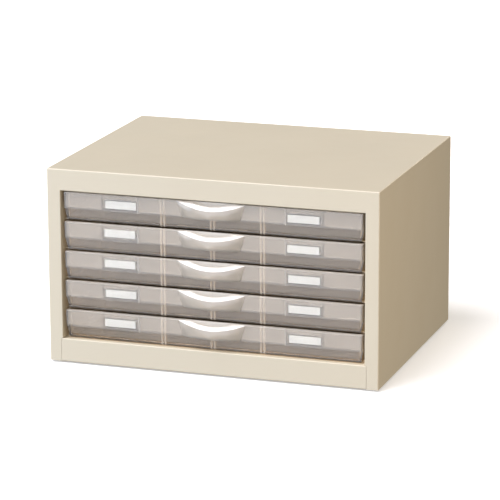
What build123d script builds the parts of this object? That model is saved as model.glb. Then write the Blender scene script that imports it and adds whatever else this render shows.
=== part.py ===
from build123d import *
from math import atan2, cos, degrees
import os

# Desktop drawer unit: a folded steel case with a stack of clear trays on fixed runners.
# Millimetres. +Z is up, -Y is the front. The origin is under the middle of the unit, on the table.

# Case
CASE_W = 340.0
CASE_D = 264.0
SHEET = 0.8
BEND_R = 1.2
WELD_GAP = 0.05
FLANGE_W = 14.0
TOP_FLANGE_H = 21.7
RAIL_H = 23.4
RAIL_OVERLAP = 2.0
SEAM = 0.25
RETURN_D = 12.0
LIP_H = 8.0
REAR_FLANGE_W = 12.0
UPTURN_H = 12.0

# Inner panels and runners
PANEL_FLANGE_W = 10.0
RUNNER_LEG_H = 10.0
RUNNER_LEDGE_W = 11.0
STOP_H = 8.0
STOP_W = 7.0

# Trays
TRAY_COUNT = 5
TRAY_H = 28.6
TRAY_GAP = 1.4
TRAY_SIDE_GAP = 3.0
TRAY_TOP_GAP = 1.7
TRAY_SILL_GAP = 0.6
REAR_SPACE = 14.0
TRAY_SETBACK = 2.0
TRAY_CORNER_R = 6.0
FLANK_H = 10.0
FLANK_IN = 2.4
FRONT_CORNER_R = 0.8
FLOOR_BEVEL = 1.4
WALL = 1.8
RUN_GAP = 0.1
STOP_GAP = 0.3

# Front of a tray, measured back from its foremost flat face and down from its top edge
BAND_H = 16.4
BAND_STEP = 3.0
BAND_SKIN = 1.4
SLOT_FLOOR = 1.5
LOWER_H = 7.6
GROOVE_H = 1.5
GROOVE_D = 0.8
RIB_H = 1.8
RIB_BACK = 0.2
TOE_BACK = 2.0

# Finger pull
PULL_TOP_W = 70.0
PULL_FOOT_W = 60.0
PULL_BULGE = 6.0
PULL_SKIN = 3.8
RIM_DIP = 7.4
RIM_SLOPE = 1.06

# Label slots, cards and divider guides
LABEL_INSET = 58.4
LABEL_SLOT_W = 36.6
LABEL_SLOT_DEPTH = 13.6
WEB = 1.0
CARD_W = 32.0
CARD_H = 7.6
CARD_T = 0.3
CARD_GAP = 0.1
LEFT_CARD_SHIFTS = (0.8, -0.4, -0.7, -0.1, -1.3)
RIGHT_CARD_SHIFTS = (-1.1, -1.4, -0.4, -0.2, 0.5)
LEFT_CARD_LIFTS = (0.0, 1.4, 0.6, 0.0, 0.0)
GUIDE_COUNT = 3
FRONT_GUIDE_PITCH = 51.2
SIDE_GUIDE_PITCH = 37.5
GUIDE_GAP = 2.4
GUIDE_W = 1.0
GUIDE_D = 2.4
GUIDE_DROP = 1.0

# Rivets and feet
RIVET_R = 1.6
RIVET_HEAD_R = 2.8
RIVET_HEAD_H = 1.0
RIVET_HEAD_BEVEL = 0.5
RIVET_INSET = 6.0
RIVET_ROWS = 2
RIVET_MARGIN = 40.0
FOOT_R = 8.0
FOOT_PROUD = 2.0
FOOT_SLOPE = 0.4
FOOT_INSET = 26.0

# Derived places. Heights in the case are measured from its underside, depths from its front face.
FRONT_Y = -CASE_D / 2
TRAY_PITCH = TRAY_H + TRAY_GAP
STACK_H = (TRAY_COUNT - 1) * TRAY_PITCH + TRAY_H
OPEN_TOP = RAIL_H + TRAY_SILL_GAP + STACK_H + TRAY_TOP_GAP
CASE_H = OPEN_TOP + TOP_FLANGE_H
OPEN_HALF = CASE_W / 2 - FLANGE_W
PANEL_X = OPEN_HALF + SHEET + WELD_GAP
TRAY_HALF = OPEN_HALF - TRAY_SIDE_GAP
LABEL_X = TRAY_HALF - LABEL_INSET
FIRST_TOP = OPEN_TOP - TRAY_TOP_GAP
TRAY_BACK = CASE_D - REAR_SPACE
BAND_Y = TRAY_SETBACK
LOWER_Y = BAND_Y + BAND_STEP
FRONT_IN_Y = LOWER_Y + WALL
SLOT_Y = BAND_Y + BAND_SKIN
BACK_Y = CASE_D - 2 * SHEET - WELD_GAP
RIGHT = 1
LEFT = -1


def span_box(x0, x1, y0, y1, z0, z1):
    """A box between two values on each axis."""
    return Pos((x0 + x1) / 2, (y0 + y1) / 2, (z0 + z1) / 2) * Box(x1 - x0, y1 - y0, z1 - z0)


def place(solid):
    """Moves a solid from case coordinates to the unit's own frame."""
    return Pos(0, FRONT_Y, FOOT_PROUD) * solid


def along_y(profile, y0, y1):
    """Extrudes a sketch of X and Z points from one depth to another."""
    return Pos(0, y1, 0) * extrude(Plane.XZ * profile, y1 - y0)


def tray_top(number):
    return FIRST_TOP - (number - 1) * TRAY_PITCH


def rivet_spots():
    """X and Z of the rivets, evenly spaced down both rear flanges."""
    x = CASE_W / 2 - RIVET_INSET
    rise = (CASE_H - 2 * RIVET_MARGIN) / (RIVET_ROWS - 1)
    return [(side * x, RIVET_MARGIN + i * rise) for side in (LEFT, RIGHT) for i in range(RIVET_ROWS)]


def rivet_holes():
    holes = Sketch() + [Pos(x, z) * Circle(RIVET_R + WELD_GAP) for x, z in rivet_spots()]
    return along_y(holes, BACK_Y - SHEET, CASE_D + SHEET)


def folded_block(inset, run_out):
    """The case's outside as one block with bent edges, or that block moved in by the sheet."""
    half = CASE_W / 2 - inset
    block = span_box(-half, half, inset, CASE_D + run_out, -run_out, CASE_H - inset)
    front = block.faces().sort_by(Axis.Y)[0]
    top = block.faces().sort_by(Axis.Z)[-1]
    front_edges = front.edges().sort_by(Axis.Z)[1:]
    top_edges = top.edges().filter_by(Axis.Y)
    return fillet(front_edges + top_edges, BEND_R - inset)


def cabinet_shell():
    """Top, sides and front flanges of one folded sheet, open below and behind."""
    shell = folded_block(0, 0) - folded_block(SHEET, CASE_D)
    opening = span_box(-OPEN_HALF, OPEN_HALF, -1, SHEET + 1, -1, OPEN_TOP)
    notch_half = OPEN_HALF + RAIL_OVERLAP
    notch = span_box(-notch_half, notch_half, -1, SHEET + 1, -1, RAIL_H + SEAM)
    tunnel = span_box(-OPEN_HALF - SHEET, OPEN_HALF + SHEET, 0, RETURN_D, RAIL_H + SEAM, OPEN_TOP + SHEET)
    returns = tunnel - span_box(-OPEN_HALF, OPEN_HALF, -1, RETURN_D + 1, -1, OPEN_TOP)
    rear_half = CASE_W / 2 - REAR_FLANGE_W
    rear_out = (CASE_W - SHEET) / 2
    rear = span_box(-rear_out, rear_out, CASE_D - SHEET, CASE_D, 0, CASE_H - SHEET / 2)
    rear -= span_box(-rear_half, rear_half, CASE_D - 2 * SHEET, CASE_D + 1, -1, CASE_H - REAR_FLANGE_W)
    shell = shell - opening - notch + returns + rear
    mouth = [e for e in shell.edges().filter_by(GeomType.LINE)
             if abs(e.center().Y) < 0.01 and e.length > OPEN_TOP - RAIL_H - 1
             and (abs(abs(e.center().X) - OPEN_HALF) < 0.01 or abs(e.center().Z - OPEN_TOP) < 0.01)]
    shell = fillet(mouth, BEND_R - SHEET / 2)
    return shell - rivet_holes()


def base_pan():
    """Bottom sheet with upturned edges. Its front edge folds up into the rail and back into the sill."""
    half = CASE_W / 2 - SHEET - WELD_GAP
    rail_half = OPEN_HALF + RAIL_OVERLAP - SEAM
    upturn_y = BACK_Y - SHEET - WELD_GAP
    pan = span_box(-half, half, SHEET + WELD_GAP, upturn_y + SHEET, 0, SHEET)
    pan = fillet(pan.edges().filter_by(Axis.Z).sort_by(Axis.Y)[:2], BEND_R)
    for side in (LEFT, RIGHT):
        edges = sorted((side * half, side * (half - SHEET)))
        pan += span_box(edges[0], edges[1], SHEET + BEND_R, upturn_y, 0, UPTURN_H)
    pan += span_box(-half, half, upturn_y, upturn_y + SHEET, 0, UPTURN_H)
    rail = Polyline((0, 0), (RETURN_D, 0), (RETURN_D, SHEET), (SHEET, SHEET), (SHEET, RAIL_H - SHEET),
                    (RETURN_D - SHEET, RAIL_H - SHEET), (RETURN_D - SHEET, RAIL_H - LIP_H),
                    (RETURN_D, RAIL_H - LIP_H), (RETURN_D, RAIL_H), (0, RAIL_H), close=True)
    rail = Pos(-rail_half, 0, 0) * extrude(Plane.YZ * make_face(rail), 2 * rail_half)
    folds = [e for e in rail.edges().filter_by(Axis.X) if abs(e.center().Y) < 0.01]
    rail = fillet(folds, BEND_R - SHEET / 2)
    return pan + rail


def back_panel():
    half = CASE_W / 2 - SHEET - WELD_GAP
    panel = span_box(-half, half, BACK_Y, BACK_Y + SHEET, 0, CASE_H - SHEET - WELD_GAP)
    panel = fillet(panel.edges().filter_by(Axis.Y).sort_by(Axis.Z)[-2:], BEND_R)
    return panel - rivet_holes()


def back_rivets():
    """Rivets through the rear flanges and the back panel, their bevelled heads on the outside."""
    grip = 2 * SHEET + WELD_GAP
    rim_h = RIVET_HEAD_H - RIVET_HEAD_BEVEL
    rivet = Pos(0, 0, -grip / 2) * Cylinder(RIVET_R, grip)
    rivet += Pos(0, 0, rim_h / 2) * Cylinder(RIVET_HEAD_R, rim_h)
    rivet += Pos(0, 0, rim_h + RIVET_HEAD_BEVEL / 2) * Cone(RIVET_HEAD_R, RIVET_HEAD_R - RIVET_HEAD_BEVEL,
                                                           RIVET_HEAD_BEVEL)
    placed = [Pos(x, CASE_D, z) * Rot(-90, 0, 0) * rivet for x, z in rivet_spots()]
    return Compound(children=[r.solid() for r in placed])


def inner_panel(side):
    """Upright behind a side flange, folded outwards at its top and bottom edges."""
    x0 = side * PANEL_X
    x1 = side * (PANEL_X + SHEET)
    x2 = side * (PANEL_X + PANEL_FLANGE_W)
    z0 = SHEET + WELD_GAP
    z1 = CASE_H - SHEET - WELD_GAP
    outline = Polyline((x0, z0), (x2, z0), (x2, z0 + SHEET), (x1, z0 + SHEET), (x1, z1 - SHEET),
                       (x2, z1 - SHEET), (x2, z1), (x0, z1), close=True)
    return along_y(make_face(outline), RETURN_D + WELD_GAP, BACK_Y - SHEET - 2 * WELD_GAP)


def runner(side, number):
    """Angle that carries one edge of a tray, with a stop turned up from its ledge at the rear."""
    ledge_top = tray_top(number) - TRAY_H - RUN_GAP
    face_x = side * (PANEL_X - WELD_GAP)
    leg_x = face_x - side * SHEET
    edge_x = face_x - side * RUNNER_LEDGE_W
    outline = Polyline((face_x, ledge_top - SHEET), (face_x, ledge_top + RUNNER_LEG_H),
                       (leg_x, ledge_top + RUNNER_LEG_H), (leg_x, ledge_top), (edge_x, ledge_top),
                       (edge_x, ledge_top - SHEET), close=True)
    stop_y = TRAY_BACK + STOP_GAP
    angle = along_y(make_face(outline), RETURN_D + WELD_GAP, stop_y + SHEET)
    ends = sorted((edge_x, edge_x + side * STOP_W))
    return angle + span_box(ends[0], ends[1], stop_y, stop_y + SHEET, ledge_top - SHEET, ledge_top + STOP_H)


def foot(side, y):
    """Low rubber foot, narrower towards the table."""
    pad = Cone(FOOT_R - FOOT_SLOPE * FOOT_PROUD, FOOT_R, FOOT_PROUD)
    return Pos(side * (CASE_W / 2 - FOOT_INSET), y, -FOOT_PROUD / 2) * pad


def rounded_pan(half, y0, y1, depth, front_r, rear_r):
    """A block below Z 0 with rounded upright corners."""
    plan = Pos(0, (y0 + y1) / 2) * Rectangle(2 * half, y1 - y0)
    plan = fillet(plan.vertices().sort_by(Axis.Y)[:2], front_r)
    plan = fillet(plan.vertices().sort_by(Axis.Y)[-2:], rear_r)
    return extrude(plan, -depth)


def flank_cuts(inset):
    """Slanting blocks that narrow the foot of a tray at both sides, or those blocks moved in by a wall."""
    lean = atan2(FLANK_IN, FLANK_H)
    block = Pos(TRAY_H / 2, CASE_D / 2, 0) * Box(TRAY_H, 2 * CASE_D, 2 * TRAY_H)
    right = Pos(TRAY_HALF - inset / cos(lean), 0, FLANK_H - TRAY_H) * Rot(0, degrees(lean), 0) * block
    return right + mirror(right, Plane.YZ)


def front_steps():
    """Side outline of a tray: the band, the lower face, a groove, a rib and the set-back toe."""
    groove_z = -BAND_H - LOWER_H
    rib_z = groove_z - GROOVE_H
    toe_z = rib_z - RIB_H
    groove_y = LOWER_Y + GROOVE_D
    rib_y = LOWER_Y + RIB_BACK
    toe_y = LOWER_Y + TOE_BACK
    outline = Polyline((BAND_Y, 0), (BAND_Y, -BAND_H), (LOWER_Y, -BAND_H), (LOWER_Y, groove_z),
                       (groove_y, groove_z), (groove_y, rib_z), (rib_y, rib_z), (rib_y, toe_z),
                       (toe_y, toe_z), (toe_y, -TRAY_H), (TRAY_BACK, -TRAY_H), (TRAY_BACK, 0), close=True)
    return Pos(-TRAY_HALF, 0, 0) * extrude(Plane.YZ * make_face(outline), 2 * TRAY_HALF)


def pull_plan(half, bulge_y, back_y):
    """Plan of the pull: an arc forward of the band, closed behind by a straight line."""
    bow = ThreePointArc((-half, BAND_Y), (0, bulge_y), (half, BAND_Y))
    back = Polyline((half, BAND_Y), (half, back_y), (-half, back_y), (-half, BAND_Y))
    return make_face(Curve() + [bow, back])


def pull_body():
    """The bulge of the pull, wider at the top than at the foot of the band."""
    top = pull_plan(PULL_TOP_W / 2, BAND_Y - PULL_BULGE, LOWER_Y)
    low = Pos(0, 0, -BAND_H) * pull_plan(PULL_FOOT_W / 2, BAND_Y - PULL_BULGE, LOWER_Y)
    return loft([low, top], ruled=True)


def pull_recess():
    """Hollow between the lip of the pull and the inner wall of the front."""
    half = PULL_FOOT_W / 2 - BAND_SKIN
    lip_y = BAND_Y - PULL_BULGE + PULL_SKIN
    bow = ThreePointArc((-half, LOWER_Y), (0, lip_y), (half, LOWER_Y))
    plan = make_face(Curve() + [bow, Line((half, LOWER_Y), (-half, LOWER_Y))])
    return extrude(plan, -BAND_H + SLOT_FLOOR)


def rim_cut():
    """Cuts the smile: a dipped curve swept back and up, which leaves a sloping top on the lip."""
    front_y = BAND_Y - PULL_BULGE
    half = PULL_TOP_W / 2
    end_z = -PULL_BULGE * RIM_SLOPE
    smile = ThreePointArc((-half, end_z), (0, -RIM_DIP), (half, end_z))
    lid = Polyline((half, end_z), (half, TRAY_H), (-half, TRAY_H), (-half, end_z))
    sheet = Plane.XZ.offset(-front_y + 1) * make_face(Curve() + [smile, lid])
    run = LOWER_Y - front_y + 1
    sheet = Pos(0, 0, -RIM_SLOPE) * sheet
    swept = extrude(sheet, (run ** 2 + (run * RIM_SLOPE) ** 2) ** 0.5, dir=(0, 1, RIM_SLOPE))
    return swept & span_box(-half, half, front_y - 1, LOWER_Y, -TRAY_H, TRAY_H)


def band_slots():
    """Slots behind the band, open at the top: one for each card, and cored ones beside them."""
    pull_end = PULL_FOOT_W / 2 - BAND_SKIN + WEB
    label_in = LABEL_X - LABEL_SLOT_W / 2
    label_out = LABEL_X + LABEL_SLOT_W / 2
    deep = BAND_H - SLOT_FLOOR
    runs = [(pull_end, label_in - WEB, deep), (label_in, label_out, LABEL_SLOT_DEPTH),
            (label_out + WEB, TRAY_HALF - WALL, deep)]
    slots = [span_box(x0, x1, SLOT_Y, LOWER_Y, -depth, 1) for x0, x1, depth in runs]
    return Part() + slots + [mirror(s, Plane.YZ) for s in slots]


def divider_guides():
    """Pairs of upright ribs inside all four walls, for loose dividers. They reach into the walls."""
    guides = []
    floor_z = -TRAY_H + WALL / 2
    side_x = TRAY_HALF - WALL
    front_y = FRONT_IN_Y - WALL / 2
    back_y = TRAY_BACK - WALL
    for i in range(GUIDE_COUNT):
        for side in (LEFT, RIGHT):
            step = i - (GUIDE_COUNT - 1) / 2
            offset = side * (GUIDE_GAP + GUIDE_W) / 2
            x = step * FRONT_GUIDE_PITCH + offset
            y = (BAND_Y + TRAY_BACK) / 2 + step * SIDE_GUIDE_PITCH + offset
            across = (x - GUIDE_W / 2, x + GUIDE_W / 2)
            along = (y - GUIDE_W / 2, y + GUIDE_W / 2)
            guides.append(span_box(*across, front_y, FRONT_IN_Y + GUIDE_D, floor_z, -GUIDE_DROP))
            guides.append(span_box(*across, back_y - GUIDE_D, back_y + WALL / 2, floor_z, -GUIDE_DROP))
            guides.append(span_box(-side_x - WALL / 2, GUIDE_D - side_x, *along, floor_z, -GUIDE_DROP))
            guides.append(span_box(side_x - GUIDE_D, side_x + WALL / 2, *along, floor_z, -GUIDE_DROP))
    return guides


def tray():
    """One moulded tray with its top edge at Z 0."""
    hull = rounded_pan(TRAY_HALF, BAND_Y, TRAY_BACK, TRAY_H, FRONT_CORNER_R, TRAY_CORNER_R) - flank_cuts(0)
    body = front_steps() & hull
    body += pull_body()
    inner_r = TRAY_CORNER_R - WALL
    hollow = rounded_pan(TRAY_HALF - WALL, FRONT_IN_Y, TRAY_BACK - WALL, TRAY_H - WALL, inner_r, inner_r)
    hollow = chamfer(hollow.faces().sort_by(Axis.Z)[0].edges(), FLOOR_BEVEL)
    body -= hollow - flank_cuts(WALL)
    body = body - pull_recess() - rim_cut() - band_slots()
    outside = hull & span_box(-TRAY_HALF, TRAY_HALF, FRONT_IN_Y - WALL / 2, TRAY_BACK, -TRAY_H, 0)
    return body + [g & outside for g in divider_guides()]


def label_card(side, number):
    """White card that stands in a label slot, not always quite centred or fully down."""
    shift = (LEFT_CARD_SHIFTS if side == LEFT else RIGHT_CARD_SHIFTS)[number - 1]
    lift = LEFT_CARD_LIFTS[number - 1] if side == LEFT else 0.0
    x = side * LABEL_X + shift
    y = SLOT_Y + CARD_GAP
    z = tray_top(number) - LABEL_SLOT_DEPTH + CARD_GAP + lift
    return span_box(x - CARD_W / 2, x + CARD_W / 2, y, y + CARD_T, z, z + CARD_H)


def build():
    nodes = {
        "cabinet_shell": cabinet_shell(),
        "base_pan": base_pan(),
        "back_panel": back_panel(),
        "back_rivets": back_rivets(),
    }
    one_tray = tray()
    for side, word in ((LEFT, "left"), (RIGHT, "right")):
        nodes[f"inner_panel_{word}"] = inner_panel(side)
        nodes[f"foot_front_{word}"] = foot(side, FOOT_INSET)
        nodes[f"foot_back_{word}"] = foot(side, CASE_D - FOOT_INSET)
        for number in range(1, TRAY_COUNT + 1):
            nodes[f"runner_{word}_{number}"] = runner(side, number)
            nodes[f"label_card_{word}_{number}"] = label_card(side, number)
    for number in range(1, TRAY_COUNT + 1):
        nodes[f"tray_{number}"] = Pos(0, 0, tray_top(number)) * one_tray
    return {name: place(solid) for name, solid in nodes.items()}


os.makedirs("parts", exist_ok=True)
for node, solid in build().items():
    export_step(solid, f"parts/{node}.step")
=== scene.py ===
# %% [markdown]
# # A desktop drawer unit in enamelled steel and clear polystyrene
# The unit is a folded steel case on low rubber feet, with five clear trays that slide on runners
# and ten white index cards behind the tray fronts. It arrives as a fixed frame of separate pieces
# at their real size. This script rounds the edges a mould would round, gives each piece the
# finish of its real material, and sets up the camera, the floor and the light of a product
# photograph.

# %% Load the frame
import bpy
import bmesh
import math
from mathutils import Matrix, Vector

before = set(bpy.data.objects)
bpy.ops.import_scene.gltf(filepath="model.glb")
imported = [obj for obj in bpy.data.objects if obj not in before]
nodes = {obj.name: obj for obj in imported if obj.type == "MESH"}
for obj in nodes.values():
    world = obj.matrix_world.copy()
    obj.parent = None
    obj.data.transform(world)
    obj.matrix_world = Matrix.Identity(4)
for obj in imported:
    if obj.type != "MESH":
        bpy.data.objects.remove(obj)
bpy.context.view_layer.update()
MM = 0.001
TRAYS = sorted(name for name in nodes if name.startswith("tray_"))
print("nodes", len(nodes), "trays", len(TRAYS))

# %% [markdown]
# ## Colours
# Paint charts and photographs give colours as sRGB hex values, while Blender's shaders work in
# linear light, so one function turns the first into the second. Typing linear numbers would work
# too, but nobody can compare those with a paint chart.

# %% Colour
def linear(hex_colour):
    """An sRGB hex value such as 'e5decd' as linear RGBA."""
    channels = [int(hex_colour[i:i + 2], 16) / 255 for i in (0, 2, 4)]
    light = [c / 12.92 if c <= 0.04045 else ((c + 0.055) / 1.055) ** 2.4 for c in channels]
    return (*light, 1.0)


print("mid grey 808080 is", round(linear("808080")[0], 3), "in linear light")

# %% [markdown]
# ## Eased edges on the mouldings
# The case already has the bends of its sheet, but a moulded tray has sharp edges in the CAD
# model, and no mould gives those: each edge of the real one is rounded by a few tenths of a
# millimetre, and that is where clear plastic catches the light. They could be modelled one by
# one. A Bevel modifier rounds them all at once and leaves the CAD mesh as it is. That mesh is
# loose triangles, so they are welded and flat neighbours are merged before the bevel.

# %% Eased edges
MOULD_EDGE_MM = 0.3
SAME_PLACE_MM = 0.001
FLAT_WITHIN_DEGREES = 0.5
EDGE_FROM_DEGREES = 40
EDGE_STEPS = 2


def ease_edges(node_name):
    piece = nodes[node_name]
    weld = piece.modifiers.new("weld", "WELD")
    weld.merge_threshold = SAME_PLACE_MM * MM
    flat = piece.modifiers.new("flat", "DECIMATE")
    flat.decimate_type = "DISSOLVE"
    flat.angle_limit = math.radians(FLAT_WITHIN_DEGREES)
    ease = piece.modifiers.new("ease", "BEVEL")
    ease.width = MOULD_EDGE_MM * MM
    ease.segments = EDGE_STEPS
    ease.limit_method = "ANGLE"
    ease.angle_limit = math.radians(EDGE_FROM_DEGREES)
    ease.harden_normals = True


for tray in TRAYS:
    ease_edges(tray)
print("eased", len(TRAYS), "trays by", MOULD_EDGE_MM, "mm")

# %% [markdown]
# ## Shader nodes
# Every finish below is a small net of shader nodes. Wired by hand in the editor that is quick to
# see but slow to repeat, so one small function adds a node with its settings and its links. Two
# more start a material and put it on the pieces it belongs to, through the slots they came with.

# %% A node
MIX_COLOURS = {"data_type": "RGBA"}


def add(tree, kind, settings=None, **inputs):
    """Adds a node. settings are its own properties, inputs are socket values or outputs to link.
    An input is given by name, with _ for a space, or by place, such as _0."""
    node = tree.nodes.new(kind)
    for name, value in (settings or {}).items():
        setattr(node, name, value)
    for name, value in inputs.items():
        key = int(name[1:]) if name[0] == "_" and name[1:].isdigit() else name.replace("_", " ")
        if isinstance(value, bpy.types.NodeSocket):
            tree.links.new(value, node.inputs[key])
        else:
            node.inputs[key].default_value = value
    return node


print("a mix of colours is set to", MIX_COLOURS["data_type"])

# %% A material
def new_material(name):
    """An empty material: its node tree, its Principled shader and its Object coordinates."""
    material = bpy.data.materials.new(name)
    material.use_nodes = True
    tree = material.node_tree
    place = add(tree, "ShaderNodeTexCoord").outputs["Object"]
    print("new material", material.name)
    return material, tree, tree.nodes["Principled BSDF"], place


def dress(starts, material):
    """Gives every CAD node whose name starts so a finished material, through its own slots."""
    dressed = [name for name in nodes if name.startswith(starts)]
    for name in dressed:
        nodes[name].data.materials.clear()
        nodes[name].data.materials.append(material)
    print(material.name, "on", len(dressed), "nodes")


print("slots to fill", sum(len(piece.material_slots) for piece in nodes.values()))

# %% [markdown]
# ## Cream baked enamel
# The case, its back, the uprights and the runners are folded steel sheet, sprayed with enamel and
# baked. To the eye that is a smooth satin cream: highlights are broad and soft, and close to, the
# faint orange peel that sprayed paint keeps breaks them up. Real peel is about a millimetre
# across, too fine for this view, so it is drawn at 1.6 mm. A slow drift in tone stands for the
# uneven film of paint, and a second one in gloss for the patches that hands have polished. An
# image could hold all this, but noise in Object coordinates has no seams and runs on from sheet
# to sheet.

# %% Enamel
PEEL_MM = 1.6
PEEL_HEIGHT_MM = 0.04
TONE_DRIFT_MM = 90
HANDLING_MM = 45
ENAMEL_IOR = 1.5


def cream_enamel():
    material, tree, shader, place = new_material("cream_baked_enamel")
    drift = add(tree, "ShaderNodeTexNoise", Vector=place, Scale=1 / (TONE_DRIFT_MM * MM),
                Detail=3.0)
    peel = add(tree, "ShaderNodeTexNoise", Vector=place, Scale=1 / (PEEL_MM * MM), Detail=2.0)
    hands = add(tree, "ShaderNodeTexNoise", Vector=place, Scale=1 / (HANDLING_MM * MM), Detail=4.0)
    bump = add(tree, "ShaderNodeBump", Strength=0.25, Distance=PEEL_HEIGHT_MM * MM,
               Height=peel.outputs["Fac"])
    gloss = add(tree, "ShaderNodeMapRange", Value=hands.outputs["Fac"], From_Min=0.3, From_Max=0.7,
                To_Min=0.36, To_Max=0.45)
    tone = add(tree, "ShaderNodeMix", MIX_COLOURS, Factor=drift.outputs["Fac"],
               A=linear("d6cbb4"), B=linear("d3c7af"))
    tree.links.new(tone.outputs["Result"], shader.inputs["Base Color"])
    tree.links.new(gloss.outputs["Result"], shader.inputs["Roughness"])
    tree.links.new(bump.outputs["Normal"], shader.inputs["Normal"])
    shader.inputs["IOR"].default_value = ENAMEL_IOR
    return material


dress(("cabinet_shell", "base_pan", "back_panel", "inner_panel", "runner"), cream_enamel())

# %% [markdown]
# ## Aluminium rivets
# Blind rivets hold the back panel. They are set after the enamel is baked, so they stay bare
# aluminium: small bright domes with a dull grey cast, which their wire has from its rolling.
# Paint would need a colour under a gloss, but a metal needs no second layer: metallic 1 and a
# light grey base give it. Fine scratches break the highlight, drawn 0.5 mm wide, because real
# ones would not show.

# %% Rivets
SCRATCH_MM = 0.5


def bare_aluminium():
    material, tree, shader, place = new_material("bare_aluminium")
    scratches = add(tree, "ShaderNodeTexNoise", Vector=place, Scale=1 / (SCRATCH_MM * MM),
                    Detail=2.0)
    gloss = add(tree, "ShaderNodeMapRange", Value=scratches.outputs["Fac"],
                To_Min=0.30, To_Max=0.48)
    tone = add(tree, "ShaderNodeMix", MIX_COLOURS, Factor=scratches.outputs["Fac"],
               A=linear("d2d3d4"), B=linear("c3c4c6"))
    tree.links.new(tone.outputs["Result"], shader.inputs["Base Color"])
    tree.links.new(gloss.outputs["Result"], shader.inputs["Roughness"])
    shader.inputs["Metallic"].default_value = 1.0
    return material


dress("back_rivets", bare_aluminium())

# %% [markdown]
# ## Where things are in a tray
# The trays are one moulding each, and its walls differ in how clear they look: a polished skin
# over the card, a band of two walls, ribs and rims. Some of these differences are painted light:
# the ribs, the top edges and the sloping rim of the pull are made milkier as painted highlights,
# the wall inside the pull as painted light in its shaded recess, and a groove and a toe under the
# band are made clearer as painted shade. The finish has to know where it is. All five trays are
# the same, a fixed step apart, so the height is turned into a distance below the top edge of
# whichever tray a point is in. Separate materials for separate faces would also do it, but a CAD
# mesh is not changed here, and places hold for all five trays at once.

# %% Measures
TOP_OF_FIRST_MM = 174.6
TRAY_PITCH_MM = 30.0
HALF_GAP_MM = 0.7
SOFT_EDGE_MM = 0.15


def measures(tree, place):
    """Where a point of a tray is, in metres: side from the middle, depth along the unit and below
    the tray's own top edge. rise is how far its surface faces up, from -1 to 1."""
    across, depth, height = add(tree, "ShaderNodeSeparateXYZ", Vector=place).outputs
    side = add(tree, "ShaderNodeMath", {"operation": "ABSOLUTE"}, _0=across)
    fall = add(tree, "ShaderNodeMath", {"operation": "SUBTRACT"},
               _0=(TOP_OF_FIRST_MM + HALF_GAP_MM) * MM, _1=height)
    step = add(tree, "ShaderNodeMath", {"operation": "FLOORED_MODULO"},
               _0=fall.outputs["Value"], _1=TRAY_PITCH_MM * MM)
    below = add(tree, "ShaderNodeMath", {"operation": "SUBTRACT"},
                _0=step.outputs["Value"], _1=HALF_GAP_MM * MM)
    normal = add(tree, "ShaderNodeNewGeometry").outputs["Normal"]
    rise = add(tree, "ShaderNodeSeparateXYZ", Vector=normal)
    return {"side": side.outputs["Value"], "depth": depth, "below": below.outputs["Value"],
            "rise": rise.outputs["Z"]}


def within(tree, measure, low, high):
    """1 where a measure lies between low and high, both in thousandths of its unit, else 0."""
    middle, half = (low + high) / 2, (high - low) / 2
    shift = add(tree, "ShaderNodeMath", {"operation": "SUBTRACT"}, _0=measure, _1=middle * MM)
    away = add(tree, "ShaderNodeMath", {"operation": "ABSOLUTE"}, _0=shift.outputs["Value"])
    step = add(tree, "ShaderNodeMapRange", {"interpolation_type": "SMOOTHSTEP"},
               Value=away.outputs["Value"], From_Min=(half - SOFT_EDGE_MM) * MM,
               From_Max=(half + SOFT_EDGE_MM) * MM, To_Min=1.0, To_Max=0.0)
    return step.outputs["Result"]


def region(tree, measured, spans):
    """1 where every one of several spans of (measure, low, high) holds, else 0."""
    inside = 1.0
    for name, low, high in spans:
        both = add(tree, "ShaderNodeMath", {"operation": "MULTIPLY"},
                   _0=within(tree, measured[name], low, high), _1=inside)
        inside = both.outputs["Value"]
    return inside


print("a tray every", TRAY_PITCH_MM, "mm, the first from", TOP_OF_FIRST_MM, "mm down")

# %% [markdown]
# ## Smoky polystyrene
# The trays are injection-moulded in clear polystyrene with a trace of grey. To the eye it is
# glossy and slightly milky: most light goes through a wall and the rest is scattered back, so one
# wall looks dim and two behind each other look lighter, which is why the band along the top is
# paler than the face below it. Transmission alone would be glass, and a flat grey would hide the
# cards. So each surface passes a share of light, its clear share, and reflects the rest as plain
# colour.
#
# A clear shader stops the lamps, and the inside of the case would stay black. So a share of each
# lamp's light is let straight through by a Transparent shader that only shadow rays see. More of
# it passes the walls inside the case than those of the front.

# %% Clear shares
MIX_NUMBERS = {"data_type": "FLOAT"}
CLEAR_SHARE = 0.80
FRONT_WALL = ("depth", -127.6, -118)
BEHIND_BAND = ("depth", -127.2, -122)
BAND = ("below", -1, 16.4)
PULL = ("side", 0, 36)
CARD_WINDOW = [("side", 76.8, 112.4), ("depth", -131, -127.8), ("below", 4.2, 14.2)]
LOWER_FACE = [FRONT_WALL, ("below", 16.4, 29.0)]
# ribs that guide loose dividers: across the back of the front wall, and along each side
RIB_SIDES_MM = [(0.9, 2.5), (48.7, 50.3), (52.1, 53.7)]
RIB_DEPTHS_MM = [(-45.2, -41.8), (-7.7, -4.3), (29.8, 33.2)]
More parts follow.
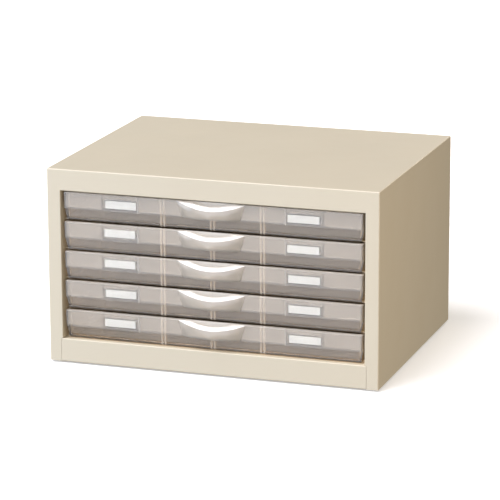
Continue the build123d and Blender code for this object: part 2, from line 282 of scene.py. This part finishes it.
# each wall: what it is, its clear share, and where it is, as measure, low and high. These are in
# millimetres, and rise is in thousandths, so that one function reads all four measures
WALLS = [
    ("face under the band", 0.88, [FRONT_WALL, ("below", 16.4, 28.6)]),
    # the groove and the toe are made clearer than the face around them, which darkens them:
    # painted shade along the groove and under the rib
    ("groove along that face", 0.95, [FRONT_WALL, ("below", 24.0, 26.0)]),
    ("toe under its rib", 0.93, [FRONT_WALL, ("below", 26.8, 29.0)]),
    # the top edges of the front are made milkier, which lightens them: a painted highlight along
    # each edge
    ("top edges of the front", 0.50, [("depth", -131, -125), ("below", -0.7, 0.4)]),
    ("face of the pull", 0.63, [PULL, ("depth", -140, -130.2)]),
    # the sloping rim is made milkier and so whiter: its white crescent is partly the reflection of
    # the overhead lamp and partly a painted highlight
    ("sloping rim of the pull", 0.30, [PULL, ("depth", -140, -126), ("rise", 400, 960)]),
    ("polished skin over a card", 0.975, CARD_WINDOW),
    ("inner end of a card slot", 0.60, [("side", 75.1, 76.3), ("depth", -131, -126.5), BAND]),
    ("floor, upper side", 0.92, [("depth", -124, 160), ("rise", 960, 1100)]),
    ("floor, under side", 0.92, [("depth", -124, 160), ("rise", -1100, -960)]),
]
# the ribs are made milkier than the wall around them, which lightens them: painted highlights that
# stand in for the light the clear ribs catch and carry
WALLS += [("rib", 0.58, [("side", *rib), BEHIND_BAND]) for rib in RIB_SIDES_MM]
WALLS += [("rib behind the band", 0.22, [("side", *rib), BEHIND_BAND, BAND])
          for rib in RIB_SIDES_MM[1:]]
WALLS += [("side rib", 0.35, [("side", 148, 160), ("depth", *rib)]) for rib in RIB_DEPTHS_MM]
# the wall inside the pull is made almost white: painted light over a recess that the part above
# shades
WALLS += [("wall in the pull", 0.12,
           [("side", 0, 28.5), ("depth", -127.2, -126.5), ("below", -1, 7.5)])]
print("walls with a share of their own", len(WALLS))


def clear_share(tree, measured):
    """The share of light that a tray's surface passes. A later row of WALLS hides an earlier."""
    clear = CLEAR_SHARE
    for what, share, spans in WALLS:
        mixed = add(tree, "ShaderNodeMix", MIX_NUMBERS, Factor=region(tree, measured, spans),
                    A=clear, B=share)
        mixed.label = what
        clear = mixed.outputs["Result"]
    return clear


# %% Smoke
FLOW_MM = 40
RIPPLE_MM = 14
RIPPLE_HEIGHT_MM = 0.02


def smoke_with_painted_warmth(tree, flow, lower_face, window):
    """Clouds of slightly different smoke, where the melt cooled at different speeds. The lower
    face, a single wall, is painted warmer, a stand-in for the warm inside of the case seen through
    it. The skin over a card is clearer."""
    cloud = add(tree, "ShaderNodeMix", MIX_COLOURS, Factor=flow,
                A=linear("e9e2d7"), B=linear("e6ded2"))
    # the warmer colour of the lower face is painted: it stands in for the cream inside of the case
    # seen through the wall
    face = add(tree, "ShaderNodeMix", MIX_COLOURS, Factor=lower_face, A=cloud.outputs["Result"],
               B=linear("e9dcc8"))
    skin = add(tree, "ShaderNodeMix", MIX_COLOURS, Factor=window, A=face.outputs["Result"],
               B=linear("fbf9f4"))
    return skin.outputs["Result"]


def mould_ripple(tree, place):
    """A polished mould is not quite flat, so highlights waver along the walls."""
    ripple = add(tree, "ShaderNodeTexNoise", Vector=place, Scale=1 / (RIPPLE_MM * MM), Detail=1.0)
    bump = add(tree, "ShaderNodeBump", Strength=0.2, Distance=RIPPLE_HEIGHT_MM * MM,
               Height=ripple.outputs["Fac"])
    return bump.outputs["Normal"]


print("clouds", FLOW_MM, "mm wide, ripples", RIPPLE_MM, "mm wide")

# %% Lamp light
BEHIND_FRONT_MM = (-127, 160)
LAMP_SHARE_INSIDE = 0.97
LAMP_SHARE_WINDOW = 0.32


def lamp_share(tree, clear, depth, window):
    """The share of a lamp's light let straight through: most of it behind the front, and less over
    a card, which rays that bend through the skin light already. Only shadow rays see it."""
    inside = add(tree, "ShaderNodeMix", MIX_NUMBERS, Factor=within(tree, depth, *BEHIND_FRONT_MM),
                 A=clear, B=LAMP_SHARE_INSIDE)
    let_in = add(tree, "ShaderNodeMix", MIX_NUMBERS, Factor=window,
                 A=inside.outputs["Result"], B=LAMP_SHARE_WINDOW)
    lamp_ray = add(tree, "ShaderNodeLightPath").outputs["Is Shadow Ray"]
    share = add(tree, "ShaderNodeMath", {"operation": "MULTIPLY"},
                _0=lamp_ray, _1=let_in.outputs["Result"])
    return share.outputs["Value"]


print("lamp light let in", LAMP_SHARE_INSIDE, "and over a card", LAMP_SHARE_WINDOW)

# %% Polystyrene
POLYSTYRENE_IOR = 1.59


def smoke_polystyrene():
    material, tree, shader, place = new_material("clear_smoke_polystyrene")
    measured = measures(tree, place)
    window = region(tree, measured, CARD_WINDOW)
    clear = clear_share(tree, measured)
    flow = add(tree, "ShaderNodeTexNoise", Vector=place, Scale=1 / (FLOW_MM * MM), Detail=2.0)
    smoke = smoke_with_painted_warmth(tree, flow.outputs["Fac"], region(tree, measured, LOWER_FACE), window)
    gloss = add(tree, "ShaderNodeMapRange", Value=flow.outputs["Fac"], To_Min=0.05, To_Max=0.08)
    tree.links.new(smoke, shader.inputs["Base Color"])
    tree.links.new(clear, shader.inputs["Transmission Weight"])
    tree.links.new(gloss.outputs["Result"], shader.inputs["Roughness"])
    tree.links.new(mould_ripple(tree, place), shader.inputs["Normal"])
    shader.inputs["IOR"].default_value = POLYSTYRENE_IOR
    through = add(tree, "ShaderNodeBsdfTransparent", Color=smoke)
    both = add(tree, "ShaderNodeMixShader", Fac=lamp_share(tree, clear, measured["depth"], window),
               _1=shader.outputs["BSDF"], _2=through.outputs["BSDF"])
    tree.links.new(both.outputs["Shader"], tree.nodes["Material Output"].inputs["Surface"])
    return material


dress("tray", smoke_polystyrene())

# %% [markdown]
# ## White index cards
# Each card is cut from uncoated office card. To the eye it is plain matt white with a faint tooth
# of pressed fibres. Fibres are a few hundredths of a millimetre thick, so their mottle is drawn
# 0.8 mm wide to show at all, in tone and in a very shallow bump. Nothing is written on the cards.

# %% Card
FIBRE_MM = 0.8
TOOTH_HEIGHT_MM = 0.02


def white_card():
    material, tree, shader, place = new_material("white_index_card")
    fibre = add(tree, "ShaderNodeTexNoise", Vector=place, Scale=1 / (FIBRE_MM * MM), Detail=4.0)
    tooth = add(tree, "ShaderNodeBump", Strength=0.3, Distance=TOOTH_HEIGHT_MM * MM,
                Height=fibre.outputs["Fac"])
    tone = add(tree, "ShaderNodeMix", MIX_COLOURS, Factor=fibre.outputs["Fac"],
               A=linear("f2f1ee"), B=linear("ebeae6"))
    tree.links.new(tone.outputs["Result"], shader.inputs["Base Color"])
    tree.links.new(tooth.outputs["Normal"], shader.inputs["Normal"])
    shader.inputs["Roughness"].default_value = 0.8
    return material


dress("label_card", white_card())

# %% [markdown]
# ## Black rubber feet
# The feet are turned or moulded from black rubber with carbon in it. To the eye that is a dark
# grey rather than a black, matt, with a fine grain and paler dust in it. The grain of moulded
# rubber is finer than 0.1 mm, so it is drawn 0.6 mm wide.

# %% Rubber
GRAIN_MM = 0.6
GRAIN_HEIGHT_MM = 0.05


def black_rubber():
    material, tree, shader, place = new_material("black_rubber")
    grain = add(tree, "ShaderNodeTexNoise", Vector=place, Scale=1 / (GRAIN_MM * MM), Detail=3.0)
    bump = add(tree, "ShaderNodeBump", Strength=0.3, Distance=GRAIN_HEIGHT_MM * MM,
               Height=grain.outputs["Fac"])
    gloss = add(tree, "ShaderNodeMapRange", Value=grain.outputs["Fac"], To_Min=0.62, To_Max=0.78)
    tone = add(tree, "ShaderNodeMix", MIX_COLOURS, Factor=grain.outputs["Fac"],
               A=linear("242322"), B=linear("2d2c2a"))
    tree.links.new(tone.outputs["Result"], shader.inputs["Base Color"])
    tree.links.new(gloss.outputs["Result"], shader.inputs["Roughness"])
    tree.links.new(bump.outputs["Normal"], shader.inputs["Normal"])
    return material


dress("foot", black_rubber())

# %% [markdown]
# ## The camera of the photograph
# A camera could be placed by eye and nudged until the picture fits. These values come from a fit
# instead: the eight corners of the case, found in the photograph, give the direction, the roll,
# the focal length and the distance together. The long lens is what keeps the sides nearly
# parallel.

# %% Camera
AZIMUTH = 18.557
ELEVATION = 14.460
ROLL = -0.207
FOCAL_PIXELS = 2910.2
FRAME_PIXELS = 500
DISTANCE_MM = 2972.9
OFFSETS_MM = (-4.05, 92.84)
SENSOR_MM = 36
SEES_TO_METRES = 50


def photo_camera():
    azimuth, elevation, roll = (math.radians(v) for v in (AZIMUTH, ELEVATION, ROLL))
    back = Vector((math.sin(azimuth) * math.cos(elevation),
                   -math.cos(azimuth) * math.cos(elevation), math.sin(elevation)))
    level = Vector((math.cos(azimuth), math.sin(azimuth), 0))
    rise = back.cross(level)
    right = level * math.cos(roll) + rise * math.sin(roll)
    up = rise * math.cos(roll) - level * math.sin(roll)
    data = bpy.data.cameras.new("photo_camera")
    data.sensor_width = SENSOR_MM
    data.lens = FOCAL_PIXELS / FRAME_PIXELS * SENSOR_MM
    data.clip_end = SEES_TO_METRES
    camera = bpy.data.objects.new("photo_camera", data)
    place = (right * OFFSETS_MM[0] + up * OFFSETS_MM[1] + back * DISTANCE_MM) * MM
    turn = Matrix((right, up, back)).transposed().to_4x4()
    camera.matrix_world = Matrix.Translation(place) @ turn
    bpy.context.scene.collection.objects.link(camera)
    bpy.context.scene.camera = camera
    print("lens", round(data.lens, 1), "at", tuple(round(v, 3) for v in place))


photo_camera()

# %% [markdown]
# ## The floor
# A product photographer stands such a unit on a light table, a matt white sheet lit from below
# too, so that its shadow stays pale. A grid of one face is enough for it. It is kept out of the
# light that reaches the unit from below, because the sides of the unit in the photograph have
# none of that.

# %% Floor
FLOOR_HALF_METRES = 6.0
GLOW = 0.3


def pale_floor():
    mesh = bpy.data.meshes.new("floor")
    sheet = bmesh.new()
    bmesh.ops.create_grid(sheet, x_segments=1, y_segments=1, size=FLOOR_HALF_METRES)
    sheet.to_mesh(mesh)
    sheet.free()
    floor = bpy.data.objects.new("floor", mesh)
    bpy.context.scene.collection.objects.link(floor)
    floor.visible_diffuse = False
    floor.visible_glossy = False
    material, _, shader, _ = new_material("matt_white_sheet")
    shader.inputs["Base Color"].default_value = linear("fbfbfb")
    shader.inputs["Roughness"].default_value = 0.9
    shader.inputs["Specular IOR Level"].default_value = 0.2
    shader.inputs["Emission Color"].default_value = linear("ffffff")
    shader.inputs["Emission Strength"].default_value = GLOW
    floor.data.materials.append(material)
    print("floor", 2 * FLOOR_HALF_METRES, "m wide, glow", GLOW)


pale_floor()

# %% [markdown]
# ## Soft studio light
# Broad lamps stand for the softboxes of a studio. Light from above and from the front makes the
# top and the front the palest, a cool key from the left fades towards the right, and a warm lamp
# beside the right side lights that from its front edge to its back. One behind the unit is for
# the views from there. The wide discs of the suns keep every highlight soft, and the dim world
# fills the rest.

# %% Lamps
def lamp(kind, name, power, place, colour, **settings):
    """A lamp at a place in metres that shines at the unit. Of a sun, only the direction counts.
    power is in watts, and in watts per square metre for a sun."""
    data = bpy.data.lights.new(name, kind)
    data.energy = power
    data.color = linear(colour)[:3]
    for setting, value in settings.items():
        setattr(data, setting, value)
    piece = bpy.data.objects.new(name, data)
    piece.location = place
    piece.rotation_mode = "QUATERNION"
    piece.rotation_quaternion = (-Vector(place)).to_track_quat("-Z", "Y")
    bpy.context.scene.collection.objects.link(piece)


lamp("SUN", "overhead", 2.2, (-0.28, -0.33, 0.90), "fbf9ff", angle=math.radians(30))
lamp("SUN", "front", 1.87, (-0.18, -0.94, 0.30), "e2ebff", angle=math.radians(70))
lamp("AREA", "key", 23, (-1.34, -0.65, 0.43), "dceaff", shape="SQUARE", size=1.4)
lamp("AREA", "warm_side", 3.3, (0.76, -0.29, 0.12), "ffeedb", shape="SQUARE", size=0.8)
lamp("AREA", "warm_back", 4.2, (0.16, 1.40, 0.26), "ffefdc", shape="SQUARE", size=0.4)

# %% World
WORLD_STRENGTH = 0.26

world = bpy.data.worlds.new("studio")
world.use_nodes = True
background = world.node_tree.nodes["Background"]
background.inputs["Color"].default_value = linear("fff8e8")
background.inputs["Strength"].default_value = WORLD_STRENGTH
bpy.context.scene.world = world
bpy.context.scene.view_settings.view_transform = "Standard"
print("world strength", WORLD_STRENGTH)
